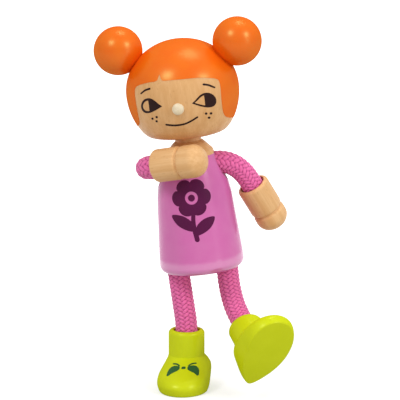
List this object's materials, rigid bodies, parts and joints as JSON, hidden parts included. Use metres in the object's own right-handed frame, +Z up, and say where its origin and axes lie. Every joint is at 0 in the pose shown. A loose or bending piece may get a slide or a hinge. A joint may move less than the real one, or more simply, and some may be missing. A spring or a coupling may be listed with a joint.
{
  "type": "bendable doll",
  "caption": "Bendable wooden doll in a turned pink dress, with wire-cored cord arms and legs, bare wooden hands, lime shoes and a turning head with hair buns.",
  "frame": {"origin": "on the flat sole of the standing (right) shoe, under its collar's axis", "axes": "+Z up, +Y away from the viewer, +X to the doll's left; the doll faces -Y"},
  "size_m": [0.0499, 0.0373, 0.0948],
  "materials": {
    "bare_wood": "sanded and clear-lacquered light hardwood",
    "pale_wood": "sanded pale hardwood peg",
    "orange_paint": "turned wood under glossy orange paint",
    "pink_paint": "turned wood under satin pink paint",
    "lime_paint": "carved wood under glossy lime paint",
    "braided_cord": "round braid of magenta-pink yarn",
    "steel_wire": "bare annealed steel wire"
  },
  "bodies": {
    "torso": {"torso": "pink_paint", "neck_dowel": "bare_wood", "right_arm_cord_shoulder": "braided_cord", "right_arm_wire_shoulder": "steel_wire", "left_arm_cord_shoulder": "braided_cord", "left_arm_wire_shoulder": "steel_wire", "right_leg_cord_hip": "braided_cord", "right_leg_wire_hip": "steel_wire", "left_leg_cord_hip": "braided_cord", "left_leg_wire_hip": "steel_wire"},
    "head": {"head": "orange_paint", "nose": "pale_wood", "right_bun": "orange_paint", "left_bun": "orange_paint", "right_bun_dowel": "bare_wood", "left_bun_dowel": "bare_wood"},
    "right_upper_arm": {"right_arm_cord_upper": "braided_cord", "right_arm_wire_upper": "steel_wire"},
    "right_middle_arm": {"right_arm_cord_elbow": "braided_cord", "right_arm_wire_elbow": "steel_wire"},
    "right_lower_arm": {"right_arm_cord_lower": "braided_cord", "right_arm_wire_lower": "steel_wire"},
    "right_hand": {"right_arm_cord_wrist": "braided_cord", "right_arm_wire_wrist": "steel_wire", "right_hand": "bare_wood"},
    "left_upper_arm": {"left_arm_cord_upper": "braided_cord", "left_arm_wire_upper": "steel_wire"},
    "left_middle_arm": {"left_arm_cord_elbow": "braided_cord", "left_arm_wire_elbow": "steel_wire"},
    "left_lower_arm": {"left_arm_cord_lower": "braided_cord", "left_arm_wire_lower": "steel_wire"},
    "left_hand": {"left_arm_cord_wrist": "braided_cord", "left_arm_wire_wrist": "steel_wire", "left_hand": "bare_wood"},
    "right_thigh": {"right_leg_cord_thigh": "braided_cord", "right_leg_wire_thigh": "steel_wire"},
    "right_knee": {"right_leg_cord_knee": "braided_cord", "right_leg_wire_knee": "steel_wire"},
    "right_shin": {"right_leg_cord_shin": "braided_cord", "right_leg_wire_shin": "steel_wire"},
    "right_foot": {"right_leg_cord_ankle": "braided_cord", "right_leg_wire_ankle": "steel_wire", "right_shoe": "lime_paint"},
    "left_thigh": {"left_leg_cord_thigh": "braided_cord", "left_leg_wire_thigh": "steel_wire"},
    "left_knee": {"left_leg_cord_knee": "braided_cord", "left_leg_wire_knee": "steel_wire"},
    "left_shin": {"left_leg_cord_shin": "braided_cord", "left_leg_wire_shin": "steel_wire"},
    "left_foot": {"left_leg_cord_ankle": "braided_cord", "left_leg_wire_ankle": "steel_wire", "left_shoe": "lime_paint"}
  },
  "joints": [
    {"name": "right_shoulder_swing", "type": "hinge", "parent": "torso", "child": "right_upper_arm", "pos_m": [-0.00655, 0, 0.05591], "axis": [-0.1097, 0, 0.994], "range_deg": [-90, 0]},
    {"name": "right_shoulder_lift", "type": "hinge", "parent": "right_upper_arm", "child": "right_middle_arm", "pos_m": [-0.00909, -0.00177, 0.0561], "axis": [-0.9397, 0.3347, 0.0699], "range_deg": [-30, 3]},
    {"name": "right_elbow_bend", "type": "hinge", "parent": "right_middle_arm", "child": "right_lower_arm", "pos_m": [-0.01006, -0.00464, 0.05673], "axis": [0.1313, 0.3255, 0.9364], "range_deg": [-90, 0]},
    {"name": "right_wrist_bend", "type": "hinge", "parent": "right_lower_arm", "child": "right_hand", "pos_m": [-0.009, -0.00743, 0.05756], "axis": [-0.5082, -0.7657, 0.3942], "range_deg": [-40, 3]},
    {"name": "left_shoulder_swing", "type": "hinge", "parent": "torso", "child": "left_upper_arm", "pos_m": [0.00886, 0, 0.05761], "axis": [0.1097, 0, -0.994], "range_deg": [-20, 50]},
    {"name": "left_shoulder_lift", "type": "hinge", "parent": "left_upper_arm", "child": "left_middle_arm", "pos_m": [0.01179, 0.00047, 0.05671], "axis": [0.2462, -0.9672, -0.0633], "range_deg": [-6, 65]},
    {"name": "left_elbow_bend", "type": "hinge", "parent": "left_middle_arm", "child": "left_lower_arm", "pos_m": [0.01412, 0.00119, 0.0548], "axis": [0.7807, 0.1657, 0.6025], "range_deg": [-50, 50]},
    {"name": "left_wrist_bend", "type": "hinge", "parent": "left_lower_arm", "child": "left_hand", "pos_m": [0.01585, 0.00195, 0.05234], "axis": [-0.2957, 0.9471, 0.125], "range_deg": [-60, 20]},
    {"name": "right_hip_swing", "type": "hinge", "parent": "torso", "child": "right_thigh", "pos_m": [-0.00195, 0, 0.02885], "axis": [-0.994, 0, -0.1097], "range_deg": [-45, 52]},
    {"name": "right_hip_spread", "type": "hinge", "parent": "right_thigh", "child": "right_knee", "pos_m": [-0.0013, 0, 0.0245], "axis": [0, 1, 0], "range_deg": [-20, 50]},
    {"name": "right_knee_bend", "type": "hinge", "parent": "right_knee", "child": "right_shin", "pos_m": [-0.00065, 0, 0.02015], "axis": [0.989, 0, 0.1478], "range_deg": [-20, 55]},
    {"name": "right_ankle_bend", "type": "hinge", "parent": "right_shin", "child": "right_foot", "pos_m": [0, 0, 0.0158], "axis": [-1, 0, 0], "range_deg": [-50, 50]},
    {"name": "left_hip_swing", "type": "hinge", "parent": "torso", "child": "left_thigh", "pos_m": [0.01027, 0, 0.0302], "axis": [-0.994, 0, -0.1097], "range_deg": [-50, 45]},
    {"name": "left_hip_spread", "type": "hinge", "parent": "left_thigh", "child": "left_knee", "pos_m": [0.01086, -0.00066, 0.02538], "axis": [0.0377, 0.9673, -0.2507], "range_deg": [-50, 20]},
    {"name": "left_knee_bend", "type": "hinge", "parent": "left_knee", "child": "left_shin", "pos_m": [0.01206, -0.00189, 0.0208], "axis": [0.8939, 0.106, 0.4356], "range_deg": [-20, 65]},
    {"name": "left_ankle_bend", "type": "hinge", "parent": "left_shin", "child": "left_foot", "pos_m": [0.01417, -0.00419, 0.01702], "axis": [-0.8871, -0.1176, -0.4464], "range_deg": [-60, 28]},
    {"name": "head_turn", "type": "hinge", "parent": "torso", "child": "head", "pos_m": [0.00029, 0, 0.06457], "axis": [-0.1097, 0, 0.994], "range_deg": [-90, 90]}
  ]
}
